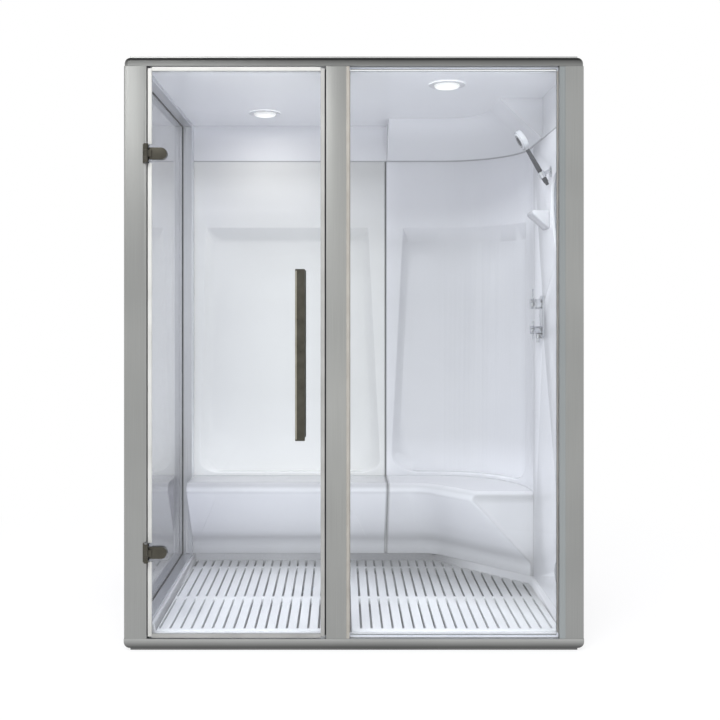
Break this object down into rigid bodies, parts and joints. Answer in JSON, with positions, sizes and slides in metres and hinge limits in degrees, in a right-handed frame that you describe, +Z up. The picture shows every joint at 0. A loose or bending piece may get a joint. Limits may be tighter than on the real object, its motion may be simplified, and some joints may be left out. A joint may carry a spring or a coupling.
{
  "type": "steam room",
  "caption": "Walk-in steam cabin with a hinged glass door, glass side, moulded corner bench, slatted floor, downlit hood, mixer and hand shower.",
  "frame": {"origin": "on the floor, at the centre of the cabin's footprint, handles left out", "axes": "+X to the right seen from outside the door, +Y into the cabin, +Z up"},
  "size_m": [1.7, 1.214, 2.2],
  "materials": {
    "brushed_aluminium": "satin brushed",
    "dark_bronze": "dark bronze, satin",
    "clear_glass": "clear toughened",
    "white_acrylic": "gloss",
    "white_board": "matt",
    "clear_seal": "translucent",
    "dark_gasket": "matt",
    "polished_chrome": "polished",
    "chromed_plastic": "chromed",
    "lamp_lens": "opal",
    "lamp_can": "plain",
    "frame_timber": "sawn",
    "fastener_steel": "plain",
    "valve_brass": "cast"
  },
  "bodies": {
    "cabin": {"base_sill": "brushed_aluminium", "bottom_rail": "brushed_aluminium", "top_rail": "brushed_aluminium", "roof_strip": "brushed_aluminium", "left_post": "brushed_aluminium", "centre_mullion": "brushed_aluminium", "right_post": "brushed_aluminium", "side_bottom_channel": "brushed_aluminium", "side_top_channel": "brushed_aluminium", "side_rear_stile": "brushed_aluminium", "right_wall_sheet": "brushed_aluminium", "lower_hinge_base": "dark_bronze", "upper_hinge_base": "dark_bronze", "fixed_glass": "clear_glass", "side_glass": "clear_glass", "back_panel_left": "white_acrylic", "back_panel_corner": "white_acrylic", "bench_left": "white_acrylic", "bench_corner": "white_acrylic", "hood": "white_acrylic", "right_wall_panel": "white_acrylic", "soap_shelf": "white_acrylic", "shower_tray": "white_acrylic", "downlight_bezels": "white_acrylic", "floor_board_left": "white_board", "floor_board_right": "white_board", "fixed_glass_gasket": "dark_gasket", "side_glass_gasket": "dark_gasket", "back_seam_seal": "dark_gasket", "mixer_plate": "polished_chrome", "bracket_base": "polished_chrome", "steam_head": "polished_chrome", "drain_grate": "polished_chrome", "drain_body": "chromed_plastic", "downlight_lenses": "lamp_lens", "downlight_cans": "lamp_can", "rear_frame": "frame_timber", "lower_hinge_pin": "fastener_steel", "upper_hinge_pin": "fastener_steel", "hinge_nuts": "fastener_steel", "mixer_body": "valve_brass"},
    "door": {"door_glass": "clear_glass", "door_hinge_seal": "clear_seal", "door_latch_seal": "clear_seal", "door_top_seal": "clear_seal", "door_sweep": "clear_seal", "lower_hinge_leaf": "dark_bronze", "upper_hinge_leaf": "dark_bronze", "lower_hinge_inner_plate": "dark_bronze", "upper_hinge_inner_plate": "dark_bronze", "hinge_pads": "dark_gasket", "hinge_bolts": "fastener_steel", "outer_pull_bar": "dark_bronze", "inner_pull_bar": "dark_bronze", "pull_standoffs": "dark_bronze"},
    "lever": {"lever_handle": "polished_chrome"},
    "cross": {"cross_handle": "polished_chrome"},
    "cradle": {"bracket_cradle": "chromed_plastic"},
    "hand_shower": {"handset": "chromed_plastic", "spray_face": "chromed_plastic"}
  },
  "joints": [
    {"name": "door_swing", "type": "hinge", "parent": "cabin", "child": "door", "pos_m": [-0.765, -0.594, 0], "axis": [0, 0, 1], "range_deg": [-110, 0]},
    {"name": "lever_turn", "type": "hinge", "parent": "cabin", "child": "lever", "pos_m": [0.769, -0.095, 1.2825], "axis": [1, 0, 0], "range_deg": [-45, 45]},
    {"name": "cross_turn", "type": "hinge", "parent": "cabin", "child": "cross", "pos_m": [0.769, -0.095, 1.1735], "axis": [1, 0, 0], "range_deg": [0, 180]},
    {"name": "cradle_tilt", "type": "hinge", "parent": "cabin", "child": "cradle", "pos_m": [0.784, -0.26, 1.815], "axis": [0, 1, 0], "range_deg": [-5, 25]},
    {"name": "handset_lift", "type": "slide", "parent": "cradle", "child": "hand_shower", "axis": [-0.5, 0, 0.866], "range_m": [0, 0.1]}
  ]
}
